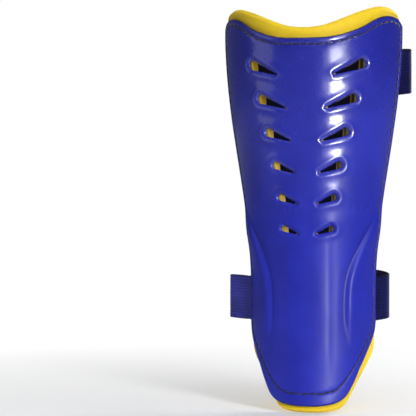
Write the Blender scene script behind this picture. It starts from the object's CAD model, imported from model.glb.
"""Shin guard: a curved PVC shell, a padded foam liner and four woven elastic straps.

The guard is a gutter standing on its ankle end. Z runs up to the knee end, the crown faces -Y
and the open side faces +Y. The loop straps leave the +X rim and the hook straps the -X rim.
Pieces are worked out in millimetres and scaled to metres when meshed; stage, lights and camera
are in metres. Most shapes are drawn in the unrolled shell, as (arc length from the crown, z).
"""
import random
from math import acos, atan2, cos, pi, radians, sin, tan

import bpy
import numpy as np
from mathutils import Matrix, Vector, noise
from mathutils.geometry import delaunay_2d_cdt


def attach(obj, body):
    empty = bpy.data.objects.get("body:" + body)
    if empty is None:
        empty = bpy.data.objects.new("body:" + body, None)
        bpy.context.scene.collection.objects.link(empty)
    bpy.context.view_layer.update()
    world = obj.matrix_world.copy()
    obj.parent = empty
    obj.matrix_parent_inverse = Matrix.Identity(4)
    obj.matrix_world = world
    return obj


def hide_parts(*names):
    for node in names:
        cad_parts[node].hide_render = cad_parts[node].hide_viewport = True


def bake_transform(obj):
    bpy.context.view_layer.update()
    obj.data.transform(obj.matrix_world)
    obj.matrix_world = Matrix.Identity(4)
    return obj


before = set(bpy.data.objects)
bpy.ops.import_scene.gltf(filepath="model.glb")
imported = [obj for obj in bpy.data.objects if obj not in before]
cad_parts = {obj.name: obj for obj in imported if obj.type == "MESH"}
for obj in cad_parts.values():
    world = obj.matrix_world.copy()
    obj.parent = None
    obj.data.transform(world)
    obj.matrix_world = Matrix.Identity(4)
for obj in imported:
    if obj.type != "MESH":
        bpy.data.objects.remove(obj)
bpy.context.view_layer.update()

SEED = 11
random.seed(SEED)
RNG = np.random.default_rng(SEED)
MM = 0.001

# ---------------------------------------------------------------------------
# Gutter surface
# ---------------------------------------------------------------------------
ANKLE_HALF = 35.7           # half width at the ankle
KNEE_EXTRA = 15.3           # what the knee end adds to it
WRAP = radians(74.0)        # angle from the crown to the rim
SHELL_T = 2.0
GAP = 0.05                  # between shell and liner
GRID = 1.9                  # spacing of the skins' inner points
SIDES = (-1, 1)

STRAP_W = 25.0
STRAP_T = 1.4
UPPER_Z = 189.0             # heights of the strap roots
LOWER_Z = 61.0

DIP = 205.5                 # height of the shell's top edge at the crown
HORN = 14.0                 # rise from there to the horns
LIP = 5.5                   # liner standing above the shell

# Edge tables: (fraction of the wrap from crown to rim, value)
HORN_RISE = [[0, 0], [0.12, 0.01], [0.2, 0.03], [0.31, 0.14], [0.4, 0.29], [0.49, 0.46],
             [0.57, 0.67], [0.65, 0.87], [0.73, 0.97], [0.8, 1], [0.9, 0.965], [0.96, 0.86],
             [1, 0.62]]
LIP_EXTRA = [[0, 0], [0.1, 0.3], [0.2, 1.5], [0.3, 2.7], [0.4, 3.1], [0.5, 2.9], [0.63, 0.6],
             [0.75, -0.6], [0.86, -1.4], [0.94, -2.2], [1, -2.9]]
SHELL_FOOT = [[0, 3.1], [0.15, 3.2], [0.25, 3.8], [0.33, 4.5], [0.40, 5.8], [0.46, 7.6],
              [0.50, 9.5], [0.55, 13.1], [0.60, 17], [0.69, 24.4], [0.84, 34.2], [0.92, 38.9],
              [0.97, 42.7], [1, 48.1]]
LINER_FOOT = [[0, 0], [0.15, 0.1], [0.25, 0.5], [0.35, 1.4], [0.42, 2.9], [0.48, 5.7],
              [0.53, 9.0], [0.62, 15.5], [0.77, 23.7], [0.87, 28.2], [0.94, 31.3],
              [0.98, 34.7], [1, 39.1]]


def smooth(start, end, x):
    """Smooth step, 0 at start and 1 at end."""
    t = np.clip((np.asarray(x, float) - start) / (end - start), 0, 1)
    return t * t * (3 - 2 * t)


def bell(distance_from, width):
    return np.exp(-(distance_from / width) ** 2)


def falloff(distance_from, reach):
    """1 at no distance, easing to 0 at reach."""
    return np.clip(1 - distance_from / reach, 0, 1) ** 2


def half_width(z):
    return ANKLE_HALF + KNEE_EXTRA * smooth(66, 211, z)


def radius(z):
    return half_width(z) / sin(WRAP)


def edge_arc(z):
    """Arc length from the crown to the rim."""
    return WRAP * radius(z)


def flare(z):
    """How far the crown bends outward at the knee and ankle ends."""
    z = np.asarray(z, float)
    knee = 2.5 * np.maximum(0, (z - 146) / 80) ** 2
    ankle = 3.5 * np.maximum(0, (56 - z) / 60) ** 2
    return knee + ankle


def surface_at_angle(angle, z, out):
    """Point at an angle from the crown and height z, out beyond the shell's outer face."""
    angle, z, out = np.broadcast_arrays(*[np.asarray(a, float) for a in (angle, z, out)])
    r, rim_cos = radius(z), cos(WRAP)
    bend = flare(z) * (np.cos(angle) - rim_cos) / (1 - rim_cos)
    return np.stack([(r + out) * np.sin(angle),
                     -(r + out) * np.cos(angle) + r * rim_cos - bend, z], -1)


def surface(flat, out):
    """Points of the unrolled shell, rolled up and moved out beyond its outer face."""
    arc, z = flat[:, 0], flat[:, 1]
    return surface_at_angle(arc / radius(z), z, out)


def lookup(x, table):
    """Table value at |x|."""
    columns = np.array(table, float)
    return np.interp(np.abs(x), columns[:, 0], columns[:, 1])


def soft_lookup(t, table):
    """Lookup with the corners of the table rounded off."""
    t = np.abs(np.asarray(t, float))
    shifts = (-0.05, -0.03, -0.01, 0.01, 0.03, 0.05)
    return sum(lookup(np.minimum(np.abs(t + s), 1.0), table) for s in shifts) / 6


def shell_top(t):
    return DIP + HORN * soft_lookup(t, HORN_RISE)


def liner_top(t):
    return shell_top(t) + LIP + soft_lookup(t, LIP_EXTRA)


def shell_bottom(t):
    return lookup(t, SHELL_FOOT)


def liner_bottom(t):
    return lookup(t, LINER_FOOT)


# ---------------------------------------------------------------------------
# Loops in the unrolled shell; closed loops run counter-clockwise
# ---------------------------------------------------------------------------
def resample(points, step, closed=True):
    p = np.asarray(points, float)
    if closed:
        p = np.vstack([p, p[:1]])
    along = np.r_[0, np.cumsum(np.linalg.norm(np.diff(p, axis=0), axis=1))]
    count = max(3, int(round(along[-1] / step)))
    at = np.linspace(0, along[-1], count + 1)
    if closed:
        at = at[:-1]
    return np.stack([np.interp(at, along, p[:, k]) for k in range(p.shape[1])], -1)


def relax(loop, passes):
    p = np.asarray(loop, float)
    for _ in range(passes):
        p = 0.5 * p + 0.25 * (np.roll(p, 1, 0) + np.roll(p, -1, 0))
    return p


def spline(controls, count):
    """Catmull-Rom curve through the controls, count points to a span."""
    c = np.asarray(controls, float)
    out = []
    for i in range(len(c) - 1):
        a, b = c[i], c[i + 1]
        before = c[i - 1] if i else 2 * a - b
        after = c[i + 2] if i + 2 < len(c) else 2 * b - a
        for k in range(count):
            t = k / count
            out.append(0.5 * (2 * a + (b - before) * t
                              + (2 * before - 5 * a + 4 * b - after) * t * t
                              + (3 * a - before - 3 * b + after) * t ** 3))
    out.append(c[-1])
    return np.array(out)


def unit(a):
    return a / (np.linalg.norm(a, axis=-1, keepdims=True) + 1e-12)


def normals(loop):
    """Unit normals to the left of travel, which is inward."""
    along = unit(np.roll(loop, -1, 0) - np.roll(loop, 1, 0))
    return np.stack([-along[:, 1], along[:, 0]], -1)


def inside(loop, points):
    x, y = points[:, 0][:, None], points[:, 1][:, None]
    following = np.roll(loop, -1, 0)
    ax, ay, bx, by = loop[:, 0], loop[:, 1], following[:, 0], following[:, 1]
    crosses = (ay > y) != (by > y)
    with np.errstate(divide="ignore", invalid="ignore"):
        cross_x = ax + (y - ay) * (bx - ax) / (by - ay)
    return (np.sum(crosses & (x < cross_x), axis=1) % 2) == 1


def distance(line, points, closed=True):
    """Distance of each point from the line, worked out in chunks to spare memory."""
    chunk = 4000
    a = np.asarray(line, float)
    b = np.roll(a, -1, 0) if closed else a[1:]
    a = a if closed else a[:-1]
    ab = b - a
    length2 = (ab ** 2).sum(1) + 1e-12
    out = np.empty(len(points))
    for i in range(0, len(points), chunk):
        p = points[i:i + chunk, None, :]
        t = np.clip(((p - a) * ab).sum(-1) / length2, 0, 1)
        out[i:i + chunk] = np.sqrt((((a + t[..., None] * ab) - p) ** 2).sum(-1).min(1))
    return out


def near_loop(loop, points, reach):
    """Mask of the points in a square around the loop's middle."""
    return (np.abs(points - loop.mean(0)) < reach).all(1)


def outline(top, bottom, step):
    """Edge of a piece between its bottom and top curves."""
    turns = np.linspace(-1, 1, 161)
    z_low, z_high = bottom(turns), top(turns)
    rise = np.linspace(z_low[-1], z_high[-1], 60)[1:-1]
    low = [(t * WRAP * radius(z), z) for t, z in zip(turns, z_low)]
    right = [(WRAP * radius(z), z) for z in rise]
    high = [(t * WRAP * radius(z), z) for t, z in zip(turns[::-1], z_high[::-1])]
    left = [(-WRAP * radius(z), z) for z in rise[::-1]]
    return relax(resample(low + right + high + left, step), 3)


# ---------------------------------------------------------------------------
# Vents: six rows, one each side of the crown, growing towards the knee
# ---------------------------------------------------------------------------
VENT_ROWS = 6
LAST_ROW = VENT_ROWS - 1


def vent_size(row):
    """Outer and inner ends (arc length), end radius, rise from end to end, and height."""
    part = row / LAST_ROW
    outer = 15.6 + 20.4 * part ** 1.52
    inner = 5.0 + 8.6 * part ** 1.7 + 2.4 * part ** 9
    round_r = 1.9 + 0.95 * row / LAST_ROW
    rise = 2.3 + 3.2 * row / LAST_ROW
    return outer, inner, round_r, rise, 100 + 17 * row + 0.21 * row * (row - 1)


def arc_points(centre, r, start, end, count):
    return [centre + r * np.array([cos(a), sin(a)]) for a in np.linspace(start, end, count)]


def teardrop(row, side):
    """Vent in the shell: round outer end high, pointed inner end low."""
    outer, inner, round_r, rise, z = vent_size(row)
    tip_r = 0.4
    middle, half = (outer + inner) / 2, (outer - inner) / 2
    round_end = np.array([half - round_r, rise / 2])
    tip = np.array([-(half - tip_r), -rise / 2 - 0.6])
    axis = round_end - tip
    base = atan2(axis[1], axis[0])
    tangent = acos((tip_r - round_r) / np.linalg.norm(axis))
    start, end = base - (pi - tangent), base + (pi - tangent)
    p = np.array(arc_points(round_end, round_r, start, end, 26)
                 + arc_points(tip, tip_r, end, start + 2 * pi, 12))
    p[:, 0] = side * (middle + p[:, 0])
    p[:, 1] += z
    return p if side > 0 else p[::-1]


def rounded(points, r):
    """Polygon with rounded corners."""
    p = np.array(points, float)
    out = []
    for i in range(len(p)):
        a, b, c = p[i - 1], p[i], p[(i + 1) % len(p)]
        len_a, len_c = np.linalg.norm(a - b), np.linalg.norm(c - b)
        to_a, to_c = (a - b) / len_a, (c - b) / len_c
        angle = acos(np.clip(to_a @ to_c, -1, 1))
        cut = min(r / tan(angle / 2), 0.45 * len_a, 0.45 * len_c)
        start, end = b + to_a * cut, b + to_c * cut
        for t in np.linspace(0, 1, 7):
            out.append((1 - t) ** 2 * start + 2 * t * (1 - t) * b + t * t * end)
    return np.array(out)


def foam_hole(row, side):
    """Triangular vent in the liner: upright outer side, point inward."""
    outer, inner, round_r, rise, z = vent_size(row)
    out, point = outer - 1.3, inner - 0.6
    corners = np.array([[out - 0.6, z - rise / 2 - 1.0], [out, z + rise / 2 + round_r * 1.1],
                        [point, z - rise / 2 - 0.6]])
    corners[:, 0] *= side
    return rounded(corners if side > 0 else corners[::-1], 0.8)


SLOTS = [resample(teardrop(k, s), 0.75) for k in range(VENT_ROWS) for s in SIDES]
FOAM_HOLES = [resample(foam_hole(k, s), 0.8) for k in range(VENT_ROWS) for s in SIDES]


# ---------------------------------------------------------------------------
# Meshing
# ---------------------------------------------------------------------------
def mesh_object(name, verts, faces, materials, smooth_angle=None):
    """Smooth-shaded object from millimetre points; edges over smooth_angle degrees stay sharp."""
    mesh = bpy.data.meshes.new(name)
    mesh.from_pydata([tuple(v) for v in np.asarray(verts, float) * MM], [],
                     [tuple(int(i) for i in f) for f in faces])
    mesh.validate(clean_customdata=False)
    mesh.polygons.foreach_set("use_smooth", [True] * len(mesh.polygons))
    if smooth_angle is not None:
        mesh.set_sharp_from_angle(angle=radians(smooth_angle))
    mesh.update()
    obj = bpy.data.objects.new(name, mesh)
    bpy.context.scene.collection.objects.link(obj)
    for material in materials:
        mesh.materials.append(material)
    return obj


def set_attribute(obj, name, values):
    attribute = obj.data.attributes.new(name, "FLOAT", "POINT")
    attribute.data.foreach_set("value", np.asarray(values, np.float32))


def register(obj, replaced=(), rider=None):
    if replaced:
        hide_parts(*replaced)
    if rider:
        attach(obj, rider)


def join_parts(parts):
    """One vertex array and face list from several (verts, faces)."""
    all_verts, all_faces, count = [], [], 0
    for verts, faces in parts:
        all_verts.append(verts)
        all_faces.extend(tuple(i + count for i in face) for face in faces)
        count += len(verts)
    return np.vstack(all_verts), all_faces


def planar_skin(edge, rings, holes, hole_rings, lines, grid):
    """Triangulates the region inside edge and outside holes.

    rings and hole_rings are distances of extra loops from the edge and the holes; lines are
    rows of extra points. Returns 2D points, triangles, and the index loops of edge and holes.
    """
    points, edges = [], []

    def add_loop(loop):
        first, count = len(points), len(loop)
        points.extend(map(tuple, loop))
        edges.extend((first + j, first + (j + 1) % count) for j in range(count))
        return range(first, first + count)

    loops = [add_loop(edge)]
    for inset in rings:
        add_loop(edge + normals(edge) * inset)
    for hole in holes:
        loops.append(add_loop(hole))
        for offset in hole_rings:
            add_loop(hole - normals(hole) * offset)
    for line in lines:
        points.extend(map(tuple, line))

    # a staggered grid fills what the loops and lines leave free
    low, high = np.array(points).min(0), np.array(points).max(0)
    gx, gz = np.meshgrid(np.arange(low[0], high[0], grid),
                         np.arange(low[1], high[1], grid * 0.866))
    gx = gx + (np.arange(gx.shape[0]) % 2)[:, None] * grid / 2
    fill = np.stack([gx.ravel(), gz.ravel()], -1)
    fill = fill[inside(edge, fill)]
    fill = fill[distance(edge, fill) > max(rings) + grid * 0.5]
    for hole in holes:
        near = near_loop(hole, fill, 30)
        clear = distance(hole, fill[near]) > max(hole_rings) + grid * 0.4
        keep = np.ones(len(fill), bool)
        keep[near] = ~inside(hole, fill[near]) & clear
        fill = fill[keep]
    for line in lines:
        fill = fill[distance(line, fill, closed=False) > grid * 0.35]
    points.extend(map(tuple, fill))

    verts, _, faces, origins, _, _ = delaunay_2d_cdt(
        [Vector(p) for p in points], edges, [], 0, 1e-4, True)
    flat = np.array([(v.x, v.y) for v in verts])
    triangles = np.array([list(f) for f in faces if len(f) == 3])
    centres = flat[triangles].mean(1)
    keep = inside(edge, centres)
    for hole in holes:
        near = near_loop(hole, centres, 30)
        keep[near] &= ~inside(hole, centres[near])
    triangles = triangles[keep]

    # all triangles counter-clockwise, slivers dropped
    a, b, c = (flat[triangles[:, k]] for k in range(3))
    area2 = ((b[:, 0] - a[:, 0]) * (c[:, 1] - a[:, 1])
             - (b[:, 1] - a[:, 1]) * (c[:, 0] - a[:, 0]))
    triangles[area2 < 0] = triangles[area2 < 0][:, ::-1]
    triangles = triangles[np.abs(area2) > 1e-7]

    merged = {old: new for new, olds in enumerate(origins) for old in olds}
    used = np.unique(triangles)
    remap = -np.ones(len(flat), int)
    remap[used] = np.arange(len(used))
    out_loops = []
    for loop in loops:
        ids = [remap[merged[i]] for i in loop]
        out_loops.append([x for j, x in enumerate(ids) if x >= 0 and x != ids[j - 1]])
    return flat[used], remap[triangles], out_loops


def close_skins(front, back, triangles, loops, walls):
    """Joins two skins on one triangulation along their loops.

    walls(loop_index, ids) gives the rows of points between front and back.
    """
    n = len(front)
    verts = [front, back]
    faces = [tuple(t) for t in triangles] + [tuple(t[::-1] + n) for t in triangles]
    count = 2 * n
    for index, loop in enumerate(loops):
        ids = np.array(loop)
        m = len(ids)
        rows = [ids]
        for row in walls(index, ids):
            verts.append(row)
            rows.append(np.arange(count, count + m))
            count += m
        rows.append(ids + n)
        for r0, r1 in zip(rows[:-1], rows[1:]):
            for j in range(m):
                k = (j + 1) % m
                faces.append((r0[k], r0[j], r1[j], r1[k]))
    return np.vstack(verts), faces


def fractal(flat, scale, seed):
    """Two octaves of noise over the unrolled shell."""
    out = np.zeros(len(flat))
    for i, (a, b) in enumerate(flat):
        amount, size = 1.0, scale
        for _ in range(2):
            out[i] += amount * noise.noise(Vector((a / size + seed, b / size - seed,
                                                   seed * 0.37)))
            amount, size = amount * 0.5, size * 0.5
    return out


# ---------------------------------------------------------------------------
# Materials
# ---------------------------------------------------------------------------
class Nodes:
    """Short helpers for building the node tree of a material or world."""

    def __init__(self, owner, output="ShaderNodeOutputMaterial"):
        self.owner = owner
        owner.use_nodes = True
        self.tree = owner.node_tree
        self.tree.nodes.clear()
        self.output = self.node(output)
        self.coord_node = None

    def node(self, kind, **properties):
        node = self.tree.nodes.new(kind)
        for key, value in properties.items():
            setattr(node, key, value)
        return node

    def link(self, source, target):
        self.tree.links.new(source, target)

    def feed(self, socket, value):
        """Sets a socket to a number or colour, or links another socket to it."""
        if isinstance(value, (int, float)):
            socket.default_value = value
        elif isinstance(value, tuple):
            socket.default_value = (*value, 1.0)
        else:
            self.link(value, socket)

    def math(self, operation, *values, clamp=False):
        node = self.node("ShaderNodeMath", operation=operation, use_clamp=clamp)
        for k, value in enumerate(values):
            self.feed(node.inputs[k], value)
        return node.outputs[0]

    def add(self, a, b):
        return self.math("ADD", a, b)

    def scale(self, value, by, clamp=False):
        return self.math("MULTIPLY", value, by, clamp=clamp)

    def mix(self, mask, base, over, strength=None, clamp=False):
        """Colour over laid on base through the mask."""
        if strength is not None:
            mask = self.scale(mask, by=strength, clamp=clamp)
        node = self.node("ShaderNodeMix", data_type="RGBA")
        for index, value in ((0, mask), (6, base), (7, over)):
            self.feed(node.inputs[index], value)
        return node.outputs[2]

    def ramp(self, value, start, end, low=0.0, high=1.0):
        """Goes from low at start to high at end."""
        node = self.node("ShaderNodeMapRange", clamp=True)
        for index, number in enumerate((start, end, low, high), 1):
            node.inputs[index].default_value = number
        self.link(value, node.inputs[0])
        return node.outputs[0]

    def noise(self, scale, detail=3.0, rough=0.5, vector=None, distortion=0.0):
        node = self.node("ShaderNodeTexNoise")
        node.inputs["Scale"].default_value = scale
        node.inputs["Detail"].default_value = detail
        node.inputs["Roughness"].default_value = rough
        node.inputs["Distortion"].default_value = distortion
        self.link(self.coords() if vector is None else vector, node.inputs["Vector"])
        return node.outputs[0]

    def coords(self):
        if self.coord_node is None:
            self.coord_node = self.node("ShaderNodeTexCoord")
        return self.coord_node.outputs["Object"]

    def split(self, vector):
        node = self.node("ShaderNodeSeparateXYZ")
        self.link(vector, node.inputs[0])
        return node.outputs

    def attribute(self, name):
        return self.node("ShaderNodeAttribute", attribute_name=name).outputs["Fac"]

    def bump(self, height, strength, distance, normal=None):
        node = self.node("ShaderNodeBump")
        node.inputs["Strength"].default_value = strength
        node.inputs["Distance"].default_value = distance
        self.link(height, node.inputs["Height"])
        if normal is not None:
            self.link(normal, node.inputs["Normal"])
        return node.outputs[0]

    def source(self, kind, strength=1.0, colour=(1.0, 1.0, 1.0)):
        """Emission or background."""
        node = self.node(kind)
        self.feed(node.inputs[0], colour)
        self.feed(node.inputs[1], strength)
        return node.outputs[0]

    def mix_shader(self, mask, base, over):
        node = self.node("ShaderNodeMixShader")
        for k, value in enumerate((mask, base, over)):
            self.link(value, node.inputs[k])
        return node.outputs[0]

    def end(self, shader):
        self.link(shader, self.output.inputs[0])
        return self.owner

    def principled(self, colour, roughness, normal, inputs):
        node = self.node("ShaderNodeBsdfPrincipled")
        settings = {**inputs, "Base Color": colour, "Roughness": roughness, "Normal": normal}
        for key, value in settings.items():
            self.feed(node.inputs[key], value)
        return self.end(node.outputs[0])


def new_nodes(name):
    return Nodes(bpy.data.materials.new(name))


def make_shell_material():
    """Blue PVC, glossy above and duller towards the ankle, with a dark rim."""
    # colours
    deep, bright = (0.0130, 0.0190, 0.345), (0.0175, 0.0255, 0.420)
    scraped, top_shade = (0.13, 0.15, 0.55), (0.0080, 0.0110, 0.230)
    fold_line, rim_dark = (0.006, 0.008, 0.150), (0.005, 0.005, 0.022)
    # roughness of body and coat, coat weight and specular level before wear
    base_rough, base_coat_rough, base_coat, base_specular = 0.22, 0.07, 0.80, 0.5

    g = new_nodes("shell_pvc")
    cloud = g.noise(scale=38, detail=3, rough=0.55)
    speck = g.noise(scale=900, detail=2, rough=0.6)
    edge = g.attribute("edge")
    height = g.split(g.coords())[2]
    worn = g.ramp(height, start=0.105, end=0.150, low=1.0, high=0.0)
    colour = g.mix(g.ramp(cloud, start=0.35, end=0.65), deep, bright)
    chips = g.ramp(g.noise(scale=300, detail=4, rough=0.7), start=0.48, end=0.66)
    wear = g.math("MULTIPLY", edge, chips, clamp=True)
    colour = g.mix(wear, colour, scraped, strength=0.5)
    high = g.ramp(height, start=0.160, end=0.200, high=0.42)
    colour = g.mix(high, colour, top_shade)
    colour = g.mix(g.attribute("fold"), colour, fold_line, strength=0.55, clamp=True)
    rim = g.attribute("rim")
    colour = g.mix(rim, colour, rim_dark, strength=0.85, clamp=True)

    streak = g.node("ShaderNodeMapping")
    streak.inputs["Scale"].default_value = (1.0, 1.0, 0.10)     # stretched along Z
    g.link(g.coords(), streak.inputs[0])
    brushed = g.noise(scale=420, detail=3, rough=0.6, vector=streak.outputs[0])
    scuff = g.ramp(g.noise(scale=150, detail=6, rough=0.75, distortion=0.6),
                   start=0.58, end=0.72)
    rough = g.add(g.add(base_rough, g.scale(cloud, by=0.10)), g.scale(scuff, by=0.08))
    rough = g.add(rough, g.add(g.scale(wear, by=0.2), g.scale(worn, by=0.19)))
    coat_rough = g.add(g.add(base_coat_rough, g.scale(worn, by=0.17)),
                       g.scale(brushed, by=0.12))
    coat = g.math("MULTIPLY", g.math("SUBTRACT", base_coat, g.scale(worn, by=0.66)),
                  g.math("SUBTRACT", 1.0, rim, clamp=True))
    normal = g.bump(speck, strength=0.10, distance=0.0002)
    normal = g.bump(g.noise(scale=95, detail=2, rough=0.5), strength=0.14, distance=0.0014,
                    normal=normal)
    normal = g.bump(brushed, strength=0.05, distance=0.0006, normal=normal)
    return g.principled(colour, rough, normal, {
        "Coat Weight": coat, "Coat Roughness": coat_rough, "Coat IOR": 1.5, "IOR": 1.45,
        "Specular IOR Level": g.math("SUBTRACT", base_specular, g.scale(worn, by=0.30))})


def make_foam_material():
    """Yellow closed-cell foam, darker in the creases and dark around the vents."""
    deep, bright = (0.800, 0.545, 0.010), (0.860, 0.620, 0.016)
    grain, crease_dark = (0.62, 0.36, 0.02), (0.56, 0.30, 0.010)
    edge_pale, soiled = (0.93, 0.74, 0.10), (0.012, 0.008, 0.006)

    g = new_nodes("liner_foam")
    cloud = g.noise(scale=30, detail=3, rough=0.6)
    fine = g.noise(scale=420, detail=4, rough=0.65)
    cells = g.node("ShaderNodeTexVoronoi", feature="SMOOTH_F1")
    cells.inputs["Scale"].default_value = 1500
    g.link(g.coords(), cells.inputs["Vector"])
    crease, edge = g.attribute("crease"), g.attribute("edge")
    colour = g.mix(g.ramp(cloud, start=0.3, end=0.7), deep, bright)
    colour = g.mix(g.ramp(fine, start=0.45, end=0.75), colour, grain, strength=0.18)
    colour = g.mix(crease, colour, crease_dark, strength=0.40, clamp=True)
    colour = g.mix(edge, colour, edge_pale, strength=0.55, clamp=True)
    colour = g.mix(g.attribute("hole"), colour, soiled)
    rough = g.ramp(fine, start=0.3, end=0.7, low=0.55, high=0.78)
    normal = g.bump(cells.outputs["Distance"], strength=0.16, distance=0.0003)
    normal = g.bump(fine, strength=0.10, distance=0.0006, normal=normal)
    return g.principled(colour, rough, normal, {
        "Sheen Weight": 0.04, "Sheen Roughness": 0.5, "Specular IOR Level": 0.30})


def make_webbing_material():
    """Woven elastic: u runs along the strap and v across it, both in millimetres."""
    dark, light = (0.0034, 0.0036, 0.044), (0.0235, 0.0265, 0.262)
    selvedge_dark = (0.0030, 0.0030, 0.024)
    rib_pitch, pick_pitch = 1.72, 0.95      # across and along the strap

    g = new_nodes("webbing")
    u, v, _ = g.split(g.node("ShaderNodeUVMap", uv_map="strap").outputs[0])
    rib = g.math("SINE", g.scale(v, by=2 * pi / rib_pitch))
    row = g.math("FLOOR", g.math("DIVIDE", v, rib_pitch / 2))
    # every other row of picks is shifted half a pitch
    pick = g.math("SINE", g.add(g.scale(u, by=2 * pi / pick_pitch), g.scale(row, by=pi)))
    fibre = g.noise(scale=2600, detail=3, rough=0.7)
    cloud = g.noise(scale=60, detail=3, rough=0.6)
    weave = g.add(g.scale(pick, by=0.5), g.scale(rib, by=0.4))
    tone = g.add(g.scale(weave, by=0.17), g.add(g.scale(fibre, by=0.50),
                                                g.scale(cloud, by=0.52)))
    colour = g.mix(g.ramp(tone, start=0.22, end=0.82), dark, light)
    selvedge = g.ramp(g.math("ABSOLUTE", v), start=11.3, end=12.4, high=0.72)
    colour = g.mix(selvedge, colour, selvedge_dark)
    normal = g.bump(weave, strength=0.40, distance=0.00016)
    normal = g.bump(fibre, strength=0.30, distance=0.00022, normal=normal)
    rough = g.ramp(fibre, start=0.3, end=0.7, low=0.62, high=0.86)
    return g.principled(colour, rough, normal, {
        "Sheen Weight": 0.20, "Sheen Roughness": 0.45, "Sheen Tint": (0.25, 0.28, 0.8),
        "Specular IOR Level": 0.25})


def make_pile_material(name, dark, light, scale):
    """Fuzzy tape; scale sets how fine the fibre noise is."""
    g = new_nodes(name)
    fibre = g.noise(scale=scale, detail=4, rough=0.75)
    cloud = g.noise(scale=90, detail=3, rough=0.6)
    tone = g.add(g.scale(fibre, by=0.7), g.scale(cloud, by=0.3))
    colour = g.mix(g.ramp(tone, start=0.32, end=0.66), dark, light)
    normal = g.bump(fibre, strength=0.6, distance=0.0004)
    return g.principled(colour, roughness=0.85, normal=normal, inputs={
        "Sheen Weight": 0.6, "Sheen Roughness": 0.6, "Sheen Tint": (0.4, 0.45, 0.9),
        "Specular IOR Level": 0.2})


def make_thread_material(name, dark, light):
    g = new_nodes(name)
    fibre = g.noise(scale=3000, detail=3, rough=0.6)
    colour = g.mix(g.ramp(fibre, start=0.35, end=0.65), dark, light)
    normal = g.bump(fibre, strength=0.3, distance=0.0001)
    return g.principled(colour, roughness=0.55, normal=normal, inputs={
        "Sheen Weight": 0.3, "Sheen Roughness": 0.4})


SHELL_PVC = make_shell_material()
FOAM = make_foam_material()
WEBBING = make_webbing_material()
LOOP_PILE = make_pile_material("loop_pile", dark=(0.010, 0.012, 0.100),
                               light=(0.034, 0.042, 0.260), scale=1800)
LOOP_FIBRE = make_pile_material("loop_fibre", dark=(0.030, 0.038, 0.270),
                                light=(0.105, 0.125, 0.560), scale=700)
HOOK_TAPE = make_pile_material("hook_tape", dark=(0.006, 0.007, 0.050),
                               light=(0.020, 0.024, 0.140), scale=900)
THREAD_NAVY = make_thread_material("thread_navy", dark=(0.003, 0.0035, 0.030),
                                   light=(0.010, 0.012, 0.085))
THREAD_BLUE = make_thread_material("thread_blue", dark=(0.024, 0.028, 0.225),
                                   light=(0.066, 0.075, 0.410))
THREAD_OCHRE = make_thread_material("thread_ochre", dark=(0.58, 0.37, 0.012),
                                    light=(0.78, 0.54, 0.02))

# ---------------------------------------------------------------------------
# Edge seam: one line of stitching joins shell and liner
# ---------------------------------------------------------------------------
EDGE_STEP = 0.9
SHELL_EDGE = outline(shell_top, shell_bottom, EDGE_STEP)

# (z, distance in from the shell's edge)
SEAM_INSET = [[0, 6.9], [9, 6.6], [24, 4.0], [60, 3.9], [186, 3.9], [204, 3.5], [212, 3.3]]
PANEL_INSET = [[0, 6.9], [21, 6.9], [51, 6.4], [186, 6.4], [210, 6.4]]


def inset_line(table, passes):
    inset = lookup(SHELL_EDGE[:, 1], table)[:, None]
    return relax(resample(SHELL_EDGE + normals(SHELL_EDGE) * inset, EDGE_STEP), passes)


SEAM = inset_line(SEAM_INSET, 6)
CREASE = inset_line(PANEL_INSET, 8)         # edge of the liner's padded panel
SEAM_ALONG = np.r_[0, np.cumsum(np.linalg.norm(np.roll(SEAM, -1, 0) - SEAM, axis=1))]
SEAM_LENGTH = SEAM_ALONG[-1]
STITCH_COUNT = int(SEAM_LENGTH / 4.3)


def seam_at(along):
    along = np.mod(along, SEAM_LENGTH)
    closed = np.vstack([SEAM, SEAM[:1]])
    return np.stack([np.interp(along, SEAM_ALONG, closed[:, k]) for k in (0, 1)], -1)


NEEDLE_HOLES = seam_at(np.arange(STITCH_COUNT) * SEAM_LENGTH / STITCH_COUNT)

# ---------------------------------------------------------------------------
# Shell
# ---------------------------------------------------------------------------
# Inner edge of the raised side wings, from the top down: (arc length, z)
WING = [(47.5, 117.0), (45.0, 111.5), (42.2, 105.8), (37.5, 99.5), (32.3, 92.2), (27.6, 84.4),
        (24.2, 76.6), (22.5, 68.9), (21.9, 60.6), (21.9, 51.9), (22.6, 44.1), (24.4, 36.3)]
WING_LINE = resample(spline(WING, 6), 1.0, closed=False)


def wing_side(flat):
    """Distance past the wing's inner edge, positive towards the rim, and the wing's strength."""
    arc, z = np.abs(flat[:, 0]), flat[:, 1]
    edge = np.interp(z, WING_LINE[::-1, 1], WING_LINE[::-1, 0])
    past = distance(WING_LINE, np.stack([arc, z], -1), closed=False)
    past = past * np.where(arc > edge, 1, -1)
    return past, smooth(30, 56, z) * (1 - smooth(96, 116, z))


def wing_height(flat):
    """Raised side wings low on the shell, with a soft rolled inner edge."""
    past, strength = wing_side(flat)
    rise = smooth(-0.9, 2.6, past)
    fall = 1 - 0.85 * smooth(2.4, 17, past)
    return strength * (1.65 * rise * fall - 0.22 * bell(past + 1.6, 1.5))


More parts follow.
